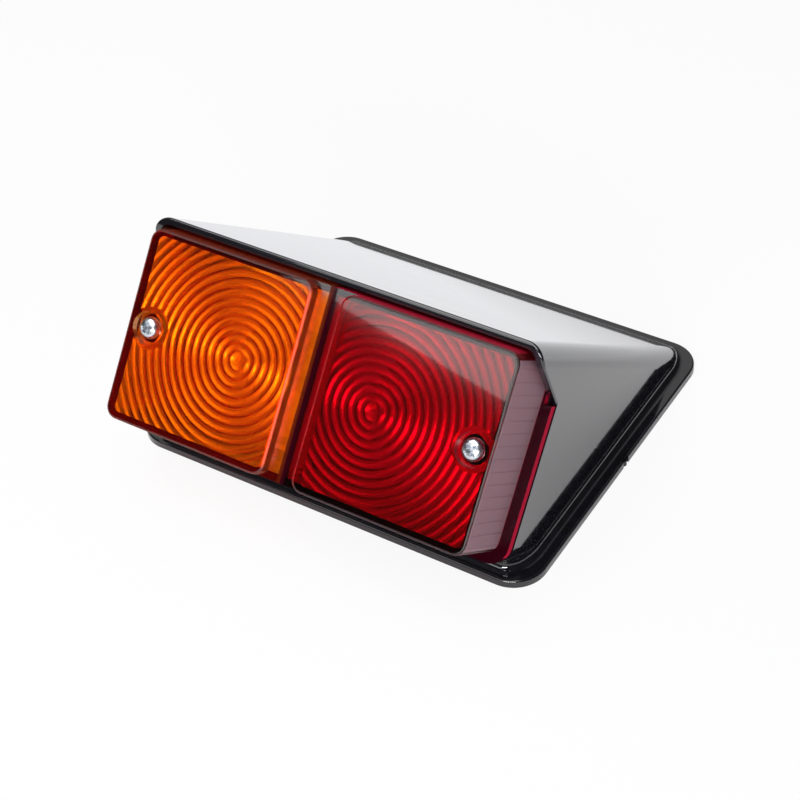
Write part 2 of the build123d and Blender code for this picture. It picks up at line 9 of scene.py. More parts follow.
import bmesh
import bpy
import numpy as np
from mathutils import Matrix, Quaternion, Vector


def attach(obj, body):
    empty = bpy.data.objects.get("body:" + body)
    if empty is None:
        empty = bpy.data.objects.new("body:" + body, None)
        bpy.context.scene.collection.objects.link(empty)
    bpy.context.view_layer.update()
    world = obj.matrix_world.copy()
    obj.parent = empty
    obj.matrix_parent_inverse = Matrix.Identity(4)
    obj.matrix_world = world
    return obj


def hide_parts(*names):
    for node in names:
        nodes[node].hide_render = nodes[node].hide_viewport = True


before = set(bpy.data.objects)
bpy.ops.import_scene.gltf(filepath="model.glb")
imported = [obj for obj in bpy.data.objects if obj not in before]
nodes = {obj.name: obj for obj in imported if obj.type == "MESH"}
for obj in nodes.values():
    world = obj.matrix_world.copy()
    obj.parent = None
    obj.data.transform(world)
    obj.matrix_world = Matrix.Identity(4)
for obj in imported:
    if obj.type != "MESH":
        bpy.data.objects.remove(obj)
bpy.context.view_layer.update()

scene = bpy.context.scene
scene.view_settings.view_transform = "Standard"
print("pieces in the solid model:", len(nodes))

# %% [markdown]
# The lens is a flat face that leans back by 52 degrees. Most places on it are easiest to give in its own
# measures: u along the lamp, v up the face and a depth behind it. One small function turns whole arrays
# of such places into points in metres, so every later piece can be worked out flat and set in place at
# once.

# %% Places on the lens
MM = 0.001
LENS_TILT = radians(52.0)
LENS_Y = -70.598
LENS_Z = 61.2


def lens_points(u, v, depth):
    """Points of the lamp: centre of the face + u along X + v up the face + depth straight back from it."""
    u, v, depth = np.broadcast_arrays(u, v, depth)
    y = LENS_Y + v * cos(LENS_TILT) + depth * sin(LENS_TILT)
    z = LENS_Z + v * sin(LENS_TILT) - depth * cos(LENS_TILT)
    return np.stack([u, y, z], axis=-1) * MM


print("middle of the lens face:", lens_points(0.0, 0.0, 0.0))

# %% [markdown]
# The photograph was taken from above the right end of the lamp with a fairly long lens. The camera's
# place and its three axes were measured from the rings and edges in the picture, so they are set as a
# matrix: its columns are the camera's right, up and backward directions and its place.

# %% Camera
CAMERA_PLACE = Vector((0.29528, -0.43839, 0.47568))
CAMERA_RIGHT = Vector((0.84883, 0.52523, -0.06011))
CAMERA_UP = Vector((-0.31503, 0.59384, 0.74034))
CAMERA_LENS = 85.364
SENSOR_WIDTH = 36.0

camera_data = bpy.data.cameras.new("camera")
camera_data.lens = CAMERA_LENS
camera_data.sensor_width = SENSOR_WIDTH
camera = bpy.data.objects.new("camera", camera_data)
scene.collection.objects.link(camera)
right = CAMERA_RIGHT.normalized()
back = right.cross(CAMERA_UP).normalized()
up = back.cross(right)
turn = Matrix((right, up, back)).transposed().to_4x4()
camera.matrix_world = Matrix.Translation(CAMERA_PLACE) @ turn
scene.camera = camera
print("camera looks along:", -back)

# %% [markdown]
# Every finish below is a small tree of shader nodes. A few helpers keep the trees short: one adds a node
# and gives each input a value or joins it to the output of another node, and the rest are the steps that
# come back most often, each giving an output that the next step can take.

# %% Helpers for shader nodes
def add_node(tree, kind, values=None, **settings):
    """A shader node of a kind, with its settings; each input gets a value or is joined to an output."""
    node = tree.nodes.new("ShaderNode" + kind)
    for key, value in settings.items():
        setattr(node, key, value)
    for key, value in (values or {}).items():
        if isinstance(value, bpy.types.NodeSocket):
            tree.links.new(value, node.inputs[key])
        else:
            node.inputs[key].default_value = value
    return node


def link(tree, *pairs):
    """Joins each output to its input."""
    for start, end in pairs:
        tree.links.new(start, end)


def calc(tree, operation, *values):
    """The result of a sum or a comparison of values and outputs."""
    return add_node(tree, "Math", dict(enumerate(values)), operation=operation).outputs[0]


def dot(tree, vector, way):
    """How far a vector runs along a way: the dot product of the two."""
    return add_node(tree, "VectorMath", {0: vector, 1: way}, operation="DOT_PRODUCT").outputs["Value"]


def spread(tree, value, low, high, start=0.0, stop=1.0):
    """A value that runs from start to stop, stretched to run from low to high and held there."""
    values = {"Value": value, "From Min": start, "From Max": stop, "To Min": low, "To Max": high}
    return add_node(tree, "MapRange", values).outputs["Result"]


def two_tones(tree, mask, first, second):
    """A colour between two tones: the first where the mask is 0, the second where it is 1."""
    ramp = add_node(tree, "ValToRGB", {"Fac": mask})
    for stop, tone in zip(ramp.color_ramp.elements, (first, second)):
        stop.color = (*tone, 1)
    return ramp.outputs["Color"]


def mixed(tree, share, first, second):
    """Two shaders in one: the share is how much the second counts."""
    return add_node(tree, "MixShader", {0: share, 1: first, 2: second}).outputs[0]


def new_material(name):
    """A material with an empty node tree, and the tree's output node."""
    material = bpy.data.materials.new(name)
    material.use_nodes = True
    tree = material.node_tree
    tree.nodes.clear()
    return material, tree, add_node(tree, "OutputMaterial")


print("node helpers are ready")

# %% [markdown]
# The lamp lies on white paper, which could be bent up behind it. A flat square is enough here: it glows
# white for the camera's own rays, so the background is white without more light on the lamp, and it still
# takes the lamp's shadow. Glosses and the clear plastic meet that glow too, but only behind the lamp. So
# the top of the housing mirrors bright paper, and the sides that face the front mirror a darker table.

# %% Floor
FLOOR_SIZE = 3.0
PAPER_COLOR = (0.72, 0.72, 0.73)
FLOOR_GLOW = 0.9
GLOW_WHITE = (1, 1, 1)
GLOW_COOL = (0.97, 0.975, 1.0)
MIRRORED_WAY = (-0.3, 1.0, 0.0)
MIRRORED_FROM = 0.045
MIRRORED_TO = 0.09
MIRRORED_NEAR = 0.08
MIRRORED_FAR = 1.0

floor_corners = np.array([(-1, -1, 0), (1, -1, 0), (1, 1, 0), (-1, 1, 0)]) * FLOOR_SIZE
floor_mesh = bpy.data.meshes.new("floor")
floor_mesh.from_pydata(floor_corners.tolist(), [], [(0, 1, 2, 3)])
floor = bpy.data.objects.new("floor", floor_mesh)
scene.collection.objects.link(floor)

floor_finish, tree, output = new_material("pale_table")
path = add_node(tree, "LightPath").outputs
seen = path["Is Camera Ray"]
mirrored = calc(tree, "MAXIMUM", path["Is Glossy Ray"], path["Is Transmission Ray"])
behind = dot(tree, add_node(tree, "NewGeometry").outputs["Position"], MIRRORED_WAY)
fade = spread(tree, behind, MIRRORED_NEAR, MIRRORED_FAR, MIRRORED_FROM, MIRRORED_TO)
share = calc(tree, "MULTIPLY_ADD", mirrored, fade, calc(tree, "MULTIPLY", seen, FLOOR_GLOW))
paper = add_node(tree, "BsdfDiffuse", {"Color": (*PAPER_COLOR, 1)}).outputs[0]
glow = add_node(tree, "Emission", {"Color": two_tones(tree, seen, GLOW_COOL, GLOW_WHITE)}).outputs[0]
link(tree, (mixed(tree, share, paper, glow), output.inputs["Surface"]))
floor_mesh.materials.append(floor_finish)
print("floor reaches", FLOOR_SIZE, "m each way")

# %% [markdown]
# The room gives a weak light from all sides. Seen in a gloss, such an even room would make black plastic
# look like slate, so mirrored rays meet a dark room that glows on one side only, high up behind the left
# end. Rays that come through the clear plastic meet a room of middle brightness, as white paper around it
# would give.

# %% Room
WORLD_LIGHT = 0.28
ROOM_DARK = 0.02
ROOM_GLOW = 0.55
ROOM_THROUGH = 0.3
GLOW_WAY = (-0.5, 0.6, 0.62)
GLOW_EDGE = 0.72

world = bpy.data.worlds.new("studio")
world.use_nodes = True
scene.world = world
tree = world.node_tree
background = tree.nodes["Background"]
background.inputs["Color"].default_value = (*GLOW_WHITE, 1)
path = add_node(tree, "LightPath").outputs
toward = dot(tree, add_node(tree, "TexCoord").outputs["Generated"], GLOW_WAY)
room = spread(tree, toward, ROOM_DARK, ROOM_GLOW, start=GLOW_EDGE)
mirrored = spread(tree, path["Is Glossy Ray"], WORLD_LIGHT, room)
strength = spread(tree, path["Is Transmission Ray"], mirrored, ROOM_THROUGH)
link(tree, (strength, background.inputs["Strength"]))
print("room light:", WORLD_LIGHT)

# %% [markdown]
# Three soft lamps light it. A broad one overhead makes the soft shadow and lights the inside through the
# lenses. A long narrow strip stands at the front right, a little slanted: the beads mirror it, which
# draws the bright sectors over the rings. A small one at the front left is what the upper part of the red
# face mirrors, and its lower edge is the line at which that sheen ends. Each is a flat light turned to
# face a point on the lamp.

# %% Lamps
def soft_lamp(name, place, aim, width, height, power, slant=0.0):
    """A flat light at a place, turned so that it faces the aim, then slanted about the way it faces."""
    data = bpy.data.lights.new(name, "AREA")
    data.shape = "RECTANGLE"
    data.size = width
    data.size_y = height
    data.energy = power
    lamp = bpy.data.objects.new(name, data)
    lamp.location = place
    facing = (Vector(aim) - Vector(place)).to_track_quat("-Z", "Y")
    lamp.rotation_euler = (facing @ Quaternion((0, 0, 1), slant)).to_euler()
    scene.collection.objects.link(lamp)
    print(name, "at", place)


soft_lamp(
    "overhead_softbox", place=(-0.15, -0.25, 0.95), aim=(0, -0.02, 0.04), width=0.9, height=0.7, power=7.5
)
soft_lamp(
    "right_strip",
    place=(0.316, -0.95, 0.45),
    aim=(0, -0.07, 0.06),
    width=0.62,
    height=0.13,
    power=8.0,
    slant=radians(-12),
)
soft_lamp(
    "front_softbox", place=(-0.25, -0.84, 0.67), aim=(0.05, -0.06, 0.08), width=0.54, height=0.29, power=1.15
)

# %% [markdown]
# Moulded, plated and pressed surfaces all vary a little: in tone, in gloss and in level. Two node groups
# make such marks from the places on the piece itself: soft grain, which can be stretched into flow lines,
# and the flat crystals of a plated sheet. Each puts out a mask and a bent normal, and the finishes decide
# what these do.

# %% Shared marks: grain and spangle
def new_group(name, inputs, outputs):
    """An empty shader node group with the given sockets, and its two end nodes."""
    group = bpy.data.node_groups.new(name, "ShaderNodeTree")
    for in_out, sockets in (("INPUT", inputs), ("OUTPUT", outputs)):
        for socket, kind in sockets.items():
            group.interface.new_socket(socket, in_out=in_out, socket_type="NodeSocket" + kind)
    return group, group.nodes.new("NodeGroupInput"), group.nodes.new("NodeGroupOutput")


def marks_group(name, texture, height, low, high):
    """Marks from a texture at the piece's own places, stretched and scaled, as a mask and as a relief."""
    sockets = {"Scale": "Float", "Stretch": "Vector", "Relief": "Float"}
    group, start, end = new_group(name, sockets, {"Mask": "Float", "Normal": "Vector"})
    place = add_node(group, "TexCoord").outputs["Object"]
    stretched = add_node(group, "VectorMath", {0: place, 1: start.outputs["Stretch"]}, operation="MULTIPLY")
    pattern = add_node(group, texture, {"Vector": stretched.outputs[0], "Scale": start.outputs["Scale"]})
    mask = spread(group, pattern.outputs[height], 0.0, 1.0, low, high)
    bump = add_node(group, "Bump", {"Height": mask, "Distance": start.outputs["Relief"]})
    link(group, (mask, end.inputs["Mask"]), (bump.outputs["Normal"], end.inputs["Normal"]))
    return group


grain = marks_group("surface_grain", "TexNoise", "Fac", low=0.35, high=0.65)
spangle = marks_group("plating_spangle", "TexVoronoi", "Color", low=0.2, high=0.8)
print("node groups:", grain.name, spangle.name)

# %% [markdown]
# The opaque pieces: a gloss black moulding whose flow lines run along the lamp, rubber, white reflector
# plastic, and the metals of the screws, sockets, caps, contacts and inserts. Plain colours would look
# like toys, so each finish has two close tones and two close glosses, mixed by its marks. A clear coat
# over the black gives the strong mirror that a polished mould leaves. Scales are per metre, so 900 is a
# grain of about a millimetre, and reliefs are in millimetres.

# %% Opaque finishes
EVEN = (1, 1, 1)
ALONG = (0.04, 1, 1)
LAYERED = (1, 0.1, 0.1)


def marked_finish(name, marks, scale, relief, dark, light, rough, stretch=EVEN, metallic=0.0, coat=0.0):
    """Two close tones and two gloss values, mixed by the marks, over their slight relief."""
    material, tree, output = new_material(name)
    group = add_node(
        tree, "Group", {"Scale": scale, "Stretch": stretch, "Relief": relief * MM}, node_tree=marks
    )
    mask = group.outputs["Mask"]
    look = {
        "Base Color": two_tones(tree, mask, dark, light),
        "Roughness": spread(tree, mask, *rough),
        "Metallic": metallic,
        "Coat Weight": coat,
        "Normal": group.outputs["Normal"],
    }
    link(tree, (add_node(tree, "BsdfPrincipled", look).outputs[0], output.inputs["Surface"]))
    return material


gloss_black = marked_finish(
    "gloss_black",
    grain,
    scale=420,
    relief=0.003,
    dark=(0.006, 0.006, 0.008),
    light=(0.008, 0.008, 0.011),
    rough=(0.09, 0.14),
    stretch=ALONG,
    coat=1.0,
)
rubber = marked_finish(
    "black_rubber",
    grain,
    scale=1500,
    relief=0.05,
    dark=(0.012, 0.012, 0.012),
    light=(0.03, 0.03, 0.03),
    rough=(0.5, 0.75),
)
tray_white = marked_finish(
    "tray_white",
    grain,
    scale=700,
    relief=0.01,
    dark=(0.78, 0.78, 0.76),
    light=(0.86, 0.86, 0.85),
    rough=(0.25, 0.4),
)
zinc = marked_finish(
    "bright_zinc",
    grain,
    scale=2600,
    relief=0.012,
    dark=(0.60, 0.65, 0.72),
    light=(0.78, 0.81, 0.85),
    rough=(0.2, 0.34),
    metallic=1.0,
)
steel = marked_finish(
    "tinned_steel",
    spangle,
    scale=700,
    relief=0.004,
    dark=(0.50, 0.51, 0.53),
    light=(0.68, 0.68, 0.69),
    rough=(0.25, 0.42),
    metallic=1.0,
)
brass = marked_finish(
    "cap_brass",
    grain,
    scale=1300,
    relief=0.01,
    dark=(0.62, 0.40, 0.15),
    light=(0.85, 0.63, 0.30),
    rough=(0.2, 0.38),
    metallic=1.0,
)
bronze = marked_finish(
    "contact_bronze",
    grain,
    scale=1800,
    relief=0.006,
    dark=(0.58, 0.32, 0.16),
    light=(0.80, 0.50, 0.28),
    rough=(0.22, 0.4),
    metallic=1.0,
)
board = marked_finish(
    "insulator_board",
    grain,
    scale=2200,
    relief=0.03,
    dark=(0.10, 0.045, 0.02),
    light=(0.24, 0.12, 0.05),
    rough=(0.45, 0.65),
    stretch=LAYERED,
)
tungsten = marked_finish(
    "tungsten_wire",
    grain,
    scale=9000,
    relief=0.002,
    dark=(0.20, 0.20, 0.21),
    light=(0.34, 0.34, 0.35),
    rough=(0.3, 0.5),
    metallic=1.0,
)


def dress(finish, *names):
    """Gives nodes of the solid model their finish."""
    for name in names:
        materials = nodes[name].data.materials
        materials.clear()
        materials.append(finish)


dress(gloss_black, "housing")
dress(rubber, "base_seal", "lens_seal", "cable_grommet")
dress(tray_white, "bulb_tray")
dress(steel, "indicator_socket", "stop_tail_socket", "earth_strip")
dress(bronze, "indicator_contact", "stop_contact", "tail_contact")
dress(brass, "indicator_bulb_cap", "stop_tail_bulb_cap")
dress(board, "indicator_insulator", "stop_tail_insulator")
print("opaque nodes are dressed")

# %% [markdown]
# A moulded lens is not equally clear all over. Its end walls are matt, with faint draw lines where the mould
# pulled off. Its rim gets painted shade, a dull dark tone for the black seal behind it, and its ends and the
# top walls get a lighter tone, which is painted light. The walls of the valley between the halves get the
# same painted shade, the weld in the valley is made dark, and the rounded edges of the faces are duller than
# the faces. These places could be painted on a map, but they follow from the shape: a group finds them from
# where a point lies on the lamp and which way its surface faces.

# %% Marks of the lenses
WALL_LINE_PITCH = 4.3
WALL_LINE_SHARE = 0.86
WALL_LINE_RELIEF = 0.12
WALL_LEAN = 0.8
WALL_FROM = 70.0
WALL_END = 24.2
SEAM_HALF = 1.4
TOP_FROM = 30.0
# Share of painted light on the top walls
TOP_PAINTED_LIGHT = 0.6
VALLEY_REACH = 8.0
# Share of painted shade on the valley walls
VALLEY_PAINTED_SHADE = 0.7
FLAT_LEAN = 0.9995
ALONG_LAMP = (1, 0, 0)
UP_FACE = (0, cos(LENS_TILT), sin(LENS_TILT))
OUT_FACE = (0, -sin(LENS_TILT), cos(LENS_TILT))
RIM_PLANE = LENS_Z * cos(LENS_TILT) - LENS_Y * sin(LENS_TILT) - WALL_END
TOP_LINE = LENS_Y * cos(LENS_TILT) + LENS_Z * sin(LENS_TILT) + TOP_FROM


def lens_marks_group():
    """Masks of the end walls, their lines, the rim's painted shade and light, weld and valley shade, edges, a
    normal.
    """
    masks = dict.fromkeys(("Wall", "Line", "PaintedRimAndTop", "End", "Seam", "Edge"), "Float")
    group, _, end = new_group("lens_marks", {}, {**masks, "Normal": "Vector"})
    place = add_node(group, "TexCoord").outputs["Object"]
    normal = add_node(group, "NewGeometry").outputs["True Normal"]
    aside = calc(group, "ABSOLUTE", dot(group, place, ALONG_LAMP))
    height = dot(group, place, UP_FACE)

    # End walls face along the lamp, near its ends and in front of the rim
    sideways = calc(group, "ABSOLUTE", dot(group, normal, ALONG_LAMP))
    steep = calc(group, "GREATER_THAN", sideways, WALL_LEAN)
    end_wall = calc(group, "MULTIPLY", steep, calc(group, "GREATER_THAN", aside, WALL_FROM * MM))
    # The rim behind the rim plane is marked for painted shade
    rim = calc(group, "LESS_THAN", dot(group, place, OUT_FACE), RIM_PLANE * MM)
    wall = calc(group, "MULTIPLY", end_wall, calc(group, "SUBTRACT", 1.0, rim))

    # Lines repeat up the walls
    step = calc(group, "FRACT", calc(group, "DIVIDE", height, WALL_LINE_PITCH * MM))
    line = calc(group, "MULTIPLY", spread(group, step, 0.0, 1.0, start=WALL_LINE_SHARE), wall)
    bump = add_node(group, "Bump", {"Height": line, "Distance": WALL_LINE_RELIEF * MM})

    # Top walls face up, above the faces, and get painted light like the ends of the rim
    upward = calc(group, "GREATER_THAN", dot(group, normal, UP_FACE), WALL_LEAN)
    top_wall = calc(group, "MULTIPLY", calc(group, "GREATER_THAN", height, TOP_LINE * MM), upward)

    # The weld is at the middle and is made dark, and the valley's walls on both sides of it get painted shade
    valley_wall = calc(group, "MULTIPLY", steep, calc(group, "LESS_THAN", aside, VALLEY_REACH * MM))
    weld = calc(group, "LESS_THAN", aside, SEAM_HALF * MM)
    outputs = {
        "Wall": wall,
        "Line": line,
        "PaintedRimAndTop": calc(group, "MAXIMUM", rim, calc(group, "MULTIPLY", top_wall, TOP_PAINTED_LIGHT)),
        "End": calc(group, "MAXIMUM", end_wall, top_wall),
        "Seam": calc(group, "MAXIMUM", weld, calc(group, "MULTIPLY", valley_wall, VALLEY_PAINTED_SHADE)),
        "Edge": calc(group, "LESS_THAN", dot(group, normal, OUT_FACE), FLAT_LEAN),
        "Normal": bump.outputs["Normal"],
    }
    link(group, *((mark, end.inputs[name]) for name, mark in outputs.items()))
    return group


lens_marks = lens_marks_group()
print("node group:", lens_marks.name)

# %% [markdown]
# The lenses are clear plastic dyed right through, so the colour deepens with the way that light goes in
# them. Glass shading with a plastic's index bends the rays at the smooth outside and again at the beads
# inside, which breaks the face into bright and dark bands. The beads also throw light straight back, so
# surfaces met from inside get a share of coloured gloss. Rays that only ask whether light arrives pass
# straight through with the dye's tint, so the inside is lit without noise. The bulbs are clear glass made
# in the same way.

# %% Lens plastics and bulb glass
LENS_INDEX = 1.49
GLASS_INDEX = 1.5
FLAT_ROUGHNESS = 0.02
EDGE_ROUGHNESS = 0.45
FACET_ROUGHNESS = 0.22
COAT_SHARE = 0.7
COAT_ROUGHNESS = 0.07
SHEEN_LEVEL = 0.25
WALL_FROST = 0.6
LINE_CLEAR = -0.22
PAINTED_RIM_SHARE = 0.9
WELD_AND_SHADE_SHARE = 0.9
BULB_TINT = (0.97, 0.98, 0.97)
BULB_SHADE = (0.97, 0.97, 0.97)
BULB_DEPTH = (0.9, 0.95, 0.92)
BULB_DENSITY = 5.0


def clear_shader(tree, dye, index, look):
    """Glass shading of a dye and an index, with the rest of its look."""
    plain = {"Base Color": (*dye, 1), "IOR": index, "Transmission Weight": 1.0}
    plain["Specular IOR Level"] = SHEEN_LEVEL
    return add_node(tree, "BsdfPrincipled", plain | look).outputs[0]


def finish_clear(tree, output, surface, shade, depth, density):
    """Lets light rays through with a shade, and takes up colour in the depth of the piece."""
    tint = add_node(tree, "BsdfTransparent", {"Color": (*shade, 1)}).outputs[0]
    dyed = add_node(tree, "VolumeAbsorption", {"Color": (*depth, 1), "Density": density}).outputs[0]
    shadow = add_node(tree, "LightPath").outputs["Is Shadow Ray"]
    link(tree, (mixed(tree, shadow, surface, tint), output.inputs["Surface"]))
    link(tree, (dyed, output.inputs["Volume"]))


def lens_plastic(name, dye, shade, facet, facet_share, depth, density, matte, rim):
    """Dyed glass shading, gloss on surfaces met from inside, frosted walls, painted shade and light on rim
    and valley.
    """
    material, tree, output = new_material(name)
    marks = add_node(tree, "Group", node_tree=lens_marks).outputs
    inside = add_node(tree, "NewGeometry").outputs["Backfacing"]
    outside = calc(tree, "SUBTRACT", 1.0, inside)
    bent = calc(tree, "MULTIPLY", marks["Edge"], outside)
    look = {
        "Roughness": spread(tree, bent, FLAT_ROUGHNESS, EDGE_ROUGHNESS),
        "Coat Weight": calc(tree, "MULTIPLY", calc(tree, "SUBTRACT", outside, bent), COAT_SHARE),
        "Coat Roughness": COAT_ROUGHNESS,
        "Normal": marks["Normal"],
    }
    glass = clear_shader(tree, dye, LENS_INDEX, look)
    glow = add_node(tree, "BsdfGlossy", {"Color": (*facet, 1), "Roughness": FACET_ROUGHNESS}).outputs[0]
    frosted = add_node(tree, "BsdfDiffuse", {"Color": (*matte, 1)}).outputs[0]
    # Painted shade on the rim and valley walls, painted light on the rim's ends and the top walls
    painted_shade_and_light = add_node(tree, "BsdfDiffuse", {"Color": two_tones(tree, marks["End"], *rim)}).outputs[0]

    wall = calc(tree, "MULTIPLY", marks["Wall"], WALL_FROST)
    frost = calc(tree, "MULTIPLY", calc(tree, "MULTIPLY_ADD", marks["Line"], LINE_CLEAR, wall), outside)
    painted_rim_mask = calc(tree, "MULTIPLY", marks["PaintedRimAndTop"], PAINTED_RIM_SHARE)
    weld_and_shade_mask = calc(tree, "MULTIPLY", marks["Seam"], WELD_AND_SHADE_SHARE)
    body = mixed(tree, calc(tree, "MULTIPLY", inside, facet_share), glass, glow)
    skin = mixed(tree, frost, body, frosted)
    whole = mixed(tree, calc(tree, "MAXIMUM", painted_rim_mask, weld_and_shade_mask), skin, painted_shade_and_light)
    finish_clear(tree, output, whole, shade, depth, density)
    return material


amber_plastic = lens_plastic(
    "amber_plastic",
    dye=(1.0, 0.9, 0.07),
    shade=(0.70, 0.38, 0.45),
    facet=(1.0, 1.0, 0.15),
    facet_share=0.68,
    depth=(1.0, 0.5, 0.06),
    density=380.0,
    matte=(0.75, 0.42, 0.2),
    # Rim tones: painted shade, then painted light at the rim's ends and the top walls
    rim=((0.06, 0.006, 0.002), (0.14, 0.014, 0.006)),
)
red_plastic = lens_plastic(
    "red_plastic",
    dye=(0.85, 0.01, 0.16),
    shade=(0.62, 0.09, 0.38),
    facet=(0.9, 0.05, 0.10),
    facet_share=0.62,
    depth=(0.80, 0.08, 0.20),
    density=300.0,
    matte=(0.40, 0.25, 0.30),
    # Rim tones: painted shade, then painted light at the rim's ends and the top walls
    rim=((0.02, 0.001, 0.004), (0.5, 0.008, 0.04)),
)
bulb_glass, tree, output = new_material("bulb_glass")
shell = clear_shader(tree, BULB_TINT, GLASS_INDEX, {"Roughness": FLAT_ROUGHNESS})
finish_clear(tree, output, shell, BULB_SHADE, BULB_DEPTH, BULB_DENSITY)
print("clear finishes:", amber_plastic.name, red_plastic.name, bulb_glass.name)

# %% [markdown]
# Most of the new pieces are closed surfaces, and they could be modelled by hand from circles and
# extrusions. Here each is a grid of points worked out at once: its rows are joined one to the next and
# round, points that fall together are merged, and the faces are turned outwards. A turned piece is a grid
# about a place on the lens.

# %% From grids to pieces
MERGE = 1e-6
TURN_STEPS = 64
SHARP_ANGLE = radians(28)


def full_turn(steps):
    """Even angles once round."""
    return np.linspace(0, 2 * np.pi, steps, endpoint=False)


def grid_mesh(name, points):
    """Closed surfaces from grids of points (piece, row, column): each row is joined round and to the next."""
    pieces, rows, count = points.shape[:3]
    index = np.arange(pieces * rows * count).reshape(pieces, rows, count)
    near, far = index[:, :-1], index[:, 1:]
    quads = np.stack([near, np.roll(near, -1, 2), np.roll(far, -1, 2), far], axis=-1).reshape(-1, 4)
    mesh = bpy.data.meshes.new(name)
    mesh.from_pydata(points.reshape(-1, 3), [], quads)
    work = bmesh.new()
    work.from_mesh(mesh)
    bmesh.ops.remove_doubles(work, verts=work.verts, dist=MERGE)
    bmesh.ops.dissolve_degenerate(work, edges=work.edges, dist=MERGE)
    bmesh.ops.recalc_face_normals(work, faces=work.faces)
    work.to_mesh(mesh)
    work.free()
    return mesh


def turned_grid(places, radius, depth, angle):
    """Grids turned about lens places: (u + r cos a, v + r sin a) at each row's radius r and depth."""
    centre = np.array(places, float)[:, None, None]
    u = centre[..., 0] + radius * np.cos(angle)
    v = centre[..., 1] + radius * np.sin(angle)
    return lens_points(u, v, depth)


def turned_mesh(name, u, profile):
    """A closed turned solid about (u, 0), from pairs of radius and depth."""
    radius, depth = np.array(profile, float).T[..., None]
    return grid_mesh(name, turned_grid([(u, 0)], radius, depth, full_turn(TURN_STEPS)))


def cut_mesh(mesh, tool, operation):
    """The mesh joined with or cut by a tool mesh, as a new mesh."""
    carrier = bpy.data.objects.new("carrier", mesh)
    cutter = bpy.data.objects.new("cutter", tool)
    scene.collection.objects.link(carrier)
    scene.collection.objects.link(cutter)
    change = carrier.modifiers.new("change", "BOOLEAN")
    change.operation = operation
    change.solver = "EXACT"
    change.object = cutter
    result = bpy.data.meshes.new_from_object(carrier.evaluated_get(bpy.context.evaluated_depsgraph_get()))
    bpy.data.objects.remove(carrier)
    bpy.data.objects.remove(cutter)
    return result


def add_piece(name, mesh, finish, node=None):
    """A finished piece at the origin that rides with the lamp, and stands for a node where one is given."""
    mesh.name = name
    mesh.materials.clear()
    mesh.materials.append(finish)
    mesh.polygons.foreach_set("use_smooth", np.ones(len(mesh.polygons), bool))
    mesh.set_sharp_from_angle(angle=SHARP_ANGLE)
    piece = bpy.data.objects.new(name, mesh)
    scene.collection.objects.link(piece)
    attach(piece, "root")
    if node:
        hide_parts(node)
    print(name, "faces:", len(mesh.polygons))


print("mesh helpers are ready")

# %% [markdown]
# Seen from the front, each half of the lens is a set of outlines: the raised face with its round corners,
# the body that widens a little with depth so that the mould lets go, and the rim, which is as wide as the
# housing below the cheeks and narrower above them. All are measured from the centre of the rings, because
# the rows of points run round it: along each angle, a row lies where the ray from that centre meets the
# outline.

# %% Outlines of the lens
RING_U = 27.0
LENS_HALF = 72.6
RIM_TOP_V = 18.2
RIM_HALF = 77.2
RIM_BOTTOM_V = -38.2
RIM_R = 7.0
SEAL_HALF = 74.3
SEAL_TOP_V = 35.3
SEAL_R = 4.1
CORNER_STEPS = 7
SIDE_SLACK = 1e-9


def corner(u, v, radius, start):
    """A quarter circle that rounds the corner at (u, v), from a start angle in degrees, turning left."""
    angle = np.radians(start + np.linspace(0, 90, CORNER_STEPS if radius else 1))
    middle = np.radians(start + 45)
    centre = np.array([u, v]) - radius * np.sqrt(2) * np.array([np.cos(middle), np.sin(middle)])
    return centre + radius * np.stack([np.cos(angle), np.sin(angle)], axis=1)


def half_outline(left, right, half_h, left_r, right_r):
    """A rectangle with its own corner radius at each end, measured from the ring centre."""
    corners = [
        corner(right, half_h, right_r, 0),
        corner(left, half_h, left_r, 90),
        corner(left, -half_h, left_r, 180),
        corner(right, -half_h, right_r, 270),
    ]
    return np.concatenate(corners) - (RING_U, 0)


def rim_outline():
    """The rim's outline: as wide as the housing below the cheeks, and inside the hood above them."""
    corners = [
        [(RIM_HALF, RIM_TOP_V), (SEAL_HALF, RIM_TOP_V)],
        corner(SEAL_HALF, SEAL_TOP_V, SEAL_R, 0),
        [(0, SEAL_TOP_V), (0, RIM_BOTTOM_V)],
        corner(RIM_HALF, RIM_BOTTOM_V, RIM_R, 270),
    ]
    return np.concatenate(corners) - (RING_U, 0)


def reach(outline, angles):
    """Distance from the ring centre to an outline along each angle: the ray's nearest crossing of a side."""
    side = np.roll(outline, -1, axis=0) - outline
    ray = np.stack([np.cos(angles), np.sin(angles)], axis=1)[:, None]
    with np.errstate(divide="ignore", invalid="ignore"):
        turn = ray[..., 0] * side[:, 1] - ray[..., 1] * side[:, 0]
        along = (outline[:, 0] * side[:, 1] - outline[:, 1] * side[:, 0]) / turn
        share = (outline[:, 0] * ray[..., 1] - outline[:, 1] * ray[..., 0]) / turn
    hit = (along > 0) & (share > -SIDE_SLACK) & (share < 1 + SIDE_SLACK)
    return np.where(hit, along, np.inf).min(axis=1)


print("half the lens is", LENS_HALF, "mm wide, and its rim", RIM_HALF, "mm")

# %% [markdown]
# Behind each smooth face the plastic is moulded into concentric rings, each a rounded bead between two
# sharp grooves. A solid model can cut them, but the bands of light need very even surfaces. So each half
# of the lens is worked out as rows of points round the ring centre: every row is an outline at some
# depth, from the middle of the outside, over the edge, down the walls, round the rim, up the inside and
# back over the beads to the middle. Where a ring runs into a wall the row stops at the wall, which gives
# the scalloped ends by itself. The screw post is joined on and the screw seat cut in as turned solids.

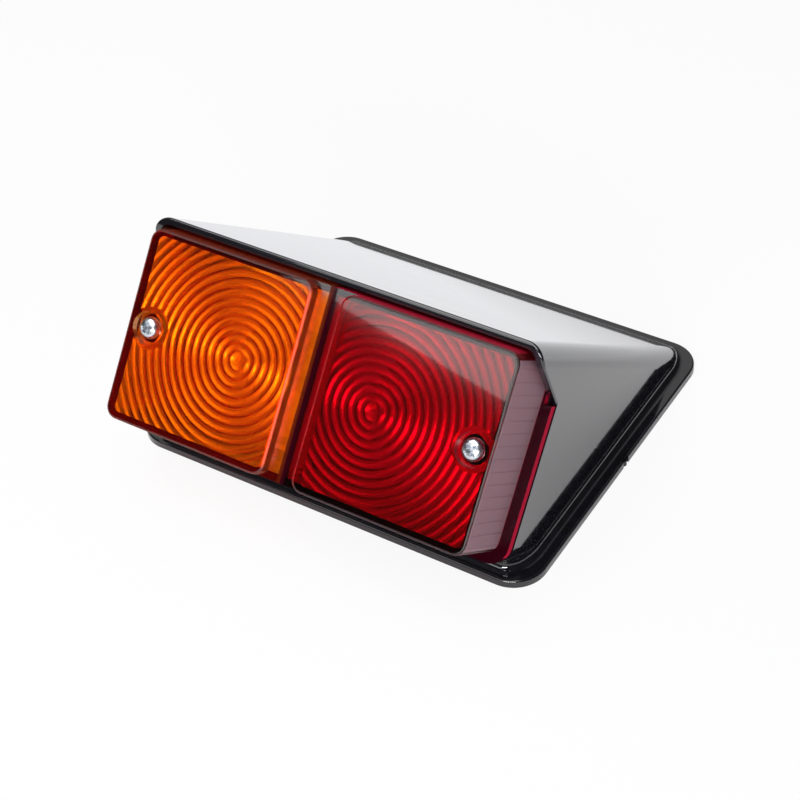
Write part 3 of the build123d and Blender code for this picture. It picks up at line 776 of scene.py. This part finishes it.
# %% Lens halves with ring optics
RING_PITCH = 3.1
RING_HEIGHT = 0.45
RING_ROWS = 8
FACE_T = 3.4
FACE_EDGE_R = 0.9
FACE_R = 4.5
FACE_HALF_H = 34.25
VALLEY_HALF = 5.6
VALLEY_DEPTH = 3.6
LENS_WALL = 2.4
DRAFT = tan(radians(2.0))
RIM_DEPTH = 27.5
RIM_T = 3.0
SCREW_U = 64.6
SEAT_R = 5.8
SEAT_DEPTH = 2.4
SEAT_HOLE_R = 2.3
CUP_R = 7.6
CUP_BACK = 4.8
POST_R = 5.0
BOSS_FRONT = 1.2
PAST = 1.0
LOOP_STEPS = 480
ANGLE_DIGITS = 6
OPEN_SHIFT = 1e-4
FLAT_MARGIN = 0.25
FLAT_SHARES = (0.4, 0.8, 1.0)


def ring_depth(radius):
    """Depth of the rings: FACE_T at each crest, less RING_HEIGHT times the square of the way to a groove.

    The middle is a dome that runs from its crest to the first groove. Each later pitch holds one bead.
    """
    place = radius / RING_PITCH
    step = place - np.floor(place)
    return FACE_T - RING_HEIGHT * np.where(place < 1, place, 2 * step - 1) ** 2


def ring_radii(limit):
    """Radii of the rows over the rings: even steps over each bead, from groove to groove."""
    steps = np.linspace(0, 1, RING_ROWS, endpoint=False)
    count = int(np.ceil(limit / RING_PITCH))
    return ((np.arange(count)[:, None] + steps[None]) * RING_PITCH).ravel()


def plateau(depth, inset):
    """Outline of the raised face at a depth: it widens with the draft and is drawn in by an inset."""
    grow = depth * DRAFT - inset
    radius = FACE_R + grow
    return half_outline(VALLEY_HALF - grow, LENS_HALF + grow, FACE_HALF_H + grow, radius, radius)


def body(depth):
    """Outline of the walls below the valley: it reaches to the middle and widens with the draft."""
    grow = depth * DRAFT
    return half_outline(0, LENS_HALF + grow, FACE_HALF_H + grow, 0, FACE_R + grow)


def lens_rows(side):
    """The rows of one half: outlines from the middle of the outside to the middle of the rings."""
    inner_end = LENS_HALF - LENS_WALL
    inner_h = FACE_HALF_H - LENS_WALL
    inner_r = FACE_R - LENS_WALL
    cavity = half_outline(0, inner_end, inner_h, 0, inner_r)
    inner = half_outline(VALLEY_HALF + LENS_WALL, inner_end, inner_h, inner_r, inner_r)
    rim = rim_outline()
    rim_front = RIM_DEPTH - RIM_T
    floor_back = VALLEY_DEPTH + LENS_WALL

    # Angles take in every corner, and the two ends of the side that is open towards the other half
    outlines = [plateau(0, FACE_EDGE_R), body(VALLEY_DEPTH), body(rim_front), rim, cavity, inner]
    marks = np.concatenate([np.arctan2(o[:, 1], o[:, 0]) for o in outlines])
    opening = np.arctan2(inner_h, -RING_U)
    even = np.linspace(-np.pi, np.pi, LOOP_STEPS, endpoint=False)
    ends = [opening + OPEN_SHIFT, -opening - OPEN_SHIFT]
    angles = np.unique(np.concatenate([even, marks, ends]).round(ANGLE_DIGITS))
    open_side = np.abs(angles) > opening + OPEN_SHIFT / 2

    # Outside: the flat face, its rounded edge and the wall down to the valley
    rows = [(0 * angles, 0 * angles)]
    flat = reach(plateau(0, FACE_EDGE_R + FLAT_MARGIN), angles)
    rows += [(flat * share, 0 * angles) for share in FLAT_SHARES]
    for turn in np.radians(np.linspace(0, 90, CORNER_STEPS)):
        inset = FACE_EDGE_R * (1 - np.sin(turn))
        depth = FACE_EDGE_R * (1 - np.cos(turn))
        rows.append((reach(plateau(depth, inset), angles), depth + 0 * angles))
    rows.append((reach(plateau(VALLEY_DEPTH, 0), angles), VALLEY_DEPTH + 0 * angles))

    # Walls, rim and cavity, which end behind the valley on the open side
    for outline, depth in (
        (body(VALLEY_DEPTH), VALLEY_DEPTH),
        (body(rim_front), rim_front),
        (rim, rim_front),
        (rim, RIM_DEPTH),
        (cavity, RIM_DEPTH),
        (cavity, floor_back),
        (inner, floor_back),
    ):
        rows.append((reach(outline, angles), np.where(open_side, min(depth, floor_back), depth)))

    # Rings, from the walls in to the middle
    wall = reach(inner, angles)
    for radius in ring_radii(wall.max())[::-1]:
        stop = np.minimum(radius, wall)
        rows.append((stop, ring_depth(stop)))
    radius, depth = (np.stack(column) for column in zip(*rows))
    return side * (RING_U + radius * np.cos(angles)), radius * np.sin(angles), depth


def lens_piece(name, side, finish, node):
    """One colour of the lens: its shell, with the screw post joined on and the screw seat cut in."""
    cup = [(0, BOSS_FRONT), (CUP_R, BOSS_FRONT), (CUP_R, CUP_BACK)]
    post = [(POST_R, CUP_BACK), (POST_R, RIM_DEPTH), (0, RIM_DEPTH)]
    seat = [(0, -PAST), (SEAT_R, -PAST), (SEAT_R, SEAT_DEPTH)]
    hole = [(SEAT_HOLE_R, SEAT_DEPTH), (SEAT_HOLE_R, RIM_DEPTH + PAST), (0, RIM_DEPTH + PAST)]
    mesh = grid_mesh(name, lens_points(*lens_rows(side))[None])
    mesh = cut_mesh(mesh, turned_mesh("boss", side * SCREW_U, cup + post), "UNION")
    mesh = cut_mesh(mesh, turned_mesh("seat", side * SCREW_U, seat + hole), "DIFFERENCE")
    add_piece(name, mesh, finish, node)


lens_piece("amber_ring_lens", -1, amber_plastic, "amber_lens")
lens_piece("red_ring_lens", 1, red_plastic, "red_lens")

# %% [markdown]
# The screws are zinc-plated pan heads with a cross recess, driven into plastic. A cold-formed head is a
# low dome with a tapered cross pressed in, and the shank carries a rolled thread. Both could be cut with
# tools, but they are heights over a round grid: the dome less the cross, and a radius that rises and
# falls with the turn and the depth together, which is a helix.

# %% Lens and tray screws
HEAD_ROWS = 56
HEAD_POWER = 3.4
HEAD_ROOT = 0.55
SCREW_TURN = 160
THREAD_PITCH = 1.4
THREAD_ROWS = 6
THREAD_SHARE = 0.84
CROSS_W = 1.2
CROSS_L = 4.7
CROSS_CORE = 0.7
CROSS_DEPTH = 1.5
CROSS_EDGE = 0.12
TIP_LENGTH = 1.2
TIP_SHARE = 0.7
TRAY_SCREW_V = 16.0
TRAY_DEPTH = 50.0


def cross_recess(x, y):
    """Depth of a tapered cross: full at the core, running out to the ends of its wings, with steep sides."""
    along = np.maximum(np.abs(x), np.abs(y))
    across = np.minimum(np.abs(x), np.abs(y))
    floor = np.clip((CROSS_L / 2 - along) / (CROSS_L / 2 - CROSS_CORE), 0, 1)
    side = np.clip((CROSS_W / 2 - across) / CROSS_EDGE, 0, 1)
    return CROSS_DEPTH * floor * side


def thread_tooth(along, angle, pitch):
    """Height of a thread from 0 to 1: a tooth over the middle half of each pitch, moved on by the turn."""
    climb = (along / pitch - angle / (2 * np.pi)) % 1
    return np.clip(1 - 4 * np.abs(climb - 0.5), 0, 1)


def screw_grid(places, seat, shank_r, length, head_r, head_h, turns):
    """Rows over the head, under it, down the thread and to the tip; each screw's cross has its own turn.

    The dome is head_h (1 - (r / head_r) ^ HEAD_POWER) ^ HEAD_ROOT, less the cross.
    """
    angle = full_turn(SCREW_TURN)
    head = head_r * np.linspace(0, 1, HEAD_ROWS)[:, None]
    dome = head_h * (1 - (head / head_r) ** HEAD_POWER) ** HEAD_ROOT
    twist = np.array(turns)[:, None, None]
    top = dome - cross_recess(head * np.cos(angle - twist), head * np.sin(angle - twist))
    down = np.linspace(0, length - TIP_LENGTH, int(THREAD_ROWS * length / THREAD_PITCH))[:, None]
    tooth = thread_tooth(down, angle, THREAD_PITCH)
    thread = shank_r * (THREAD_SHARE + (1 - THREAD_SHARE) * tooth)
    thread[0] = shank_r
    tip = np.array([[TIP_SHARE * shank_r], [0.0]]) + 0 * angle
    tip_down = np.array([[length], [length]]) + 0 * angle
    radius = np.concatenate([head + 0 * angle, thread, tip])
    below = np.concatenate([down + 0 * angle, tip_down])
    depth = np.stack([np.concatenate([seat - one, seat + below]) for one in top])
    return turned_grid(places, radius, depth, angle)


lens_screws = screw_grid(
    [(-SCREW_U, 0), (SCREW_U, 0)],
    seat=SEAT_DEPTH,
    shank_r=2.0,
    length=36.0,
    head_r=4.0,
    head_h=2.6,
    turns=(0.35, 0.75),
)
tray_screws = screw_grid(
    [(-SCREW_U, TRAY_SCREW_V), (SCREW_U, TRAY_SCREW_V)],
    seat=TRAY_DEPTH,
    shank_r=1.75,
    length=14.0,
    head_r=3.75,
    head_h=2.4,
    turns=(0.1, 0.5),
)
add_piece("lens_screw_pair", grid_mesh("lens_screw_pair", lens_screws), zinc, "lens_screws")
add_piece("tray_screw_pair", grid_mesh("tray_screw_pair", tray_screws), zinc, "tray_screws")

# %% [markdown]
# A real bulb is a thin blown shell, not a solid ball, so the envelope is turned as an outer and an inner
# profile 0.6 mm apart: a ball, a cone tangent to it and a straight neck. Inside stand two lead
# wires with a coiled filament slung between them, and the stop and tail bulb has two of these. Wires and
# coils are tubes: a circle carried along a path, set across it by two directions square to the path.

# %% Bulbs
GLASS_R = 12.4
GLASS_NECK_R = 6.6
GLASS_CENTRE = 27.0
GLASS_FOOT = 47.6
GLASS_T = 0.6
GLASS_STEPS = 72
BALL_ROWS = 40
SHOULDER = radians(30.0)
WIRE_R = 0.28
WIRE_ROWS = 40
WIRE_FOOT = 1.6
WIRE_SPREAD = 3.2
COIL_R = 0.45
COIL_WIRE_R = 0.09
COIL_TURNS = 22
COIL_ROWS = 16
FILAMENT_DEPTH = 27.0
FILAMENT_SAG = 1.2
FILAMENT_V = 2.4
TUBE_SIDES = 8
TUBE_GUIDE = (0.31, 0.83, 0.46)


def envelope(inset):
    """Radius and depth from the tip of the ball to the foot of the neck, a wall's thickness further in."""
    ball = GLASS_R - inset
    turn = np.linspace(0, np.pi / 2 + SHOULDER, BALL_ROWS)
    neck = GLASS_NECK_R - inset
    radius, depth = ball * np.sin(turn), GLASS_CENTRE - ball * np.cos(turn)
    end = depth[-1] + (radius[-1] - neck) / np.tan(SHOULDER)
    return np.append(radius, [neck, neck]), np.append(depth, [end, GLASS_FOOT])


def tube_grid(path, radius):
    """Rows of a circle carried along a path, closed at both ends: path + r (cos a side + sin a lift)."""
    along = np.gradient(path, axis=0)
    along /= np.linalg.norm(along, axis=1, keepdims=True)
    side = np.cross(along, TUBE_GUIDE)
    side /= np.linalg.norm(side, axis=1, keepdims=True)
    lift = np.cross(along, side)
    angle = full_turn(TUBE_SIDES)[:, None]
    round_path = np.cos(angle) * side[:, None] + np.sin(angle) * lift[:, None]
    tube = path[:, None] + radius * round_path
    ends = [np.repeat(path[k][None, None], TUBE_SIDES, axis=1) for k in (0, -1)]
    return np.concatenate([ends[0], tube, ends[1]])[None] * MM


def filament_parts(u, v):
    """Two lead wires and the coil between them, for a filament at (u, v) in the bulb on the ring centre u.

    The wires spread evenly from the foot to the filament. The coil is a circle carried along a sagging line.
    """
    run = np.linspace(0, 1, WIRE_ROWS)
    rise = GLASS_FOOT + (FILAMENT_DEPTH - GLASS_FOOT) * run
    spread_out = WIRE_FOOT + (WIRE_SPREAD - WIRE_FOOT) * run
    wires = [(u + side * spread_out, v * run, rise) for side in (-1, 1)]
    run = np.linspace(0, 1, COIL_ROWS * COIL_TURNS)
    turn = 2 * np.pi * COIL_TURNS * run
    sag = FILAMENT_SAG * np.sin(np.pi * run)
    across = u + WIRE_SPREAD * (2 * run - 1)
    coil = (across, v + COIL_R * np.sin(turn), FILAMENT_DEPTH - sag + COIL_R * np.cos(turn))
    tubes = [tube_grid(lens_points(*wire) / MM, WIRE_R) for wire in wires]
    return tubes + [tube_grid(lens_points(*coil) / MM, COIL_WIRE_R)]


def join_meshes(name, meshes):
    """One mesh from several."""
    work = bmesh.new()
    for mesh in meshes:
        work.from_mesh(mesh)
    joined = bpy.data.meshes.new(name)
    work.to_mesh(joined)
    work.free()
    return joined


def bulb_piece(name, u, node, rows):
    """The hollow envelope at ring centre u, and the filaments inside it at the given v places."""
    outer, inner = envelope(0.0), envelope(GLASS_T)
    radius = np.append(outer[0], inner[0][::-1])[:, None]
    depth = np.append(outer[1], inner[1][::-1])[:, None]
    glass = grid_mesh(name, turned_grid([(u, 0)], radius, depth, full_turn(GLASS_STEPS)))
    add_piece(name + "_shell", glass, bulb_glass, node)
    parts = [grid_mesh(name, grid) for v in rows for grid in filament_parts(u, v)]
    add_piece(name + "_filaments", join_meshes(name, parts), tungsten)


bulb_piece("indicator_bulb", -RING_U, "indicator_bulb_glass", [0.0])
bulb_piece("stop_tail_bulb", RING_U, "stop_tail_bulb_glass", [-FILAMENT_V, FILAMENT_V])

# %% [markdown]
# The base is closed, and the lamp is held from behind by two screws in brass inserts that were pressed
# into the moulding while it was hot. The outside of such an insert is knurled to grip, with a plain
# groove round the middle, and the bore carries a thread. The grid runs up the outside, over the top and
# down the bore.

# %% Threaded inserts
INSERT_X = 45.0
INSERT_R = 4.5
INSERT_L = 12.0
INSERT_ROWS = 61
INSERT_GROOVE = (4.8, 7.2)
INSERT_GROOVE_DEPTH = 0.5
KNURL_TEETH = 32
KNURL_STEPS = 8
KNURL_DEPTH = 0.22
BORE_R = 2.5
BORE_ROWS = 97
BORE_PITCH = 1.0
BORE_THREAD = 0.4

angle = full_turn(KNURL_STEPS * KNURL_TEETH)
rise = np.linspace(0, INSERT_L, INSERT_ROWS)[:, None]
knurl = KNURL_DEPTH * np.abs(np.sin(KNURL_TEETH * angle / 2))
plain = (rise > INSERT_GROOVE[0]) & (rise < INSERT_GROOVE[1])
outside = INSERT_R - np.where(plain, INSERT_GROOVE_DEPTH, knurl)
fall = np.linspace(INSERT_L, 0, BORE_ROWS)[:, None]
bore = BORE_R + BORE_THREAD * thread_tooth(fall, angle, BORE_PITCH)
radius = np.concatenate([outside, bore, outside[:1]])
height = np.concatenate([rise, fall, rise[:1]]) + 0 * angle
centre = np.array([-INSERT_X, INSERT_X])[:, None, None]
x, y, z = np.broadcast_arrays(centre + radius * np.cos(angle), radius * np.sin(angle), height)
inserts = np.stack([x, y, z], axis=-1) * MM
add_piece("insert_pair", grid_mesh("insert_pair", inserts), brass, "mounting_inserts")
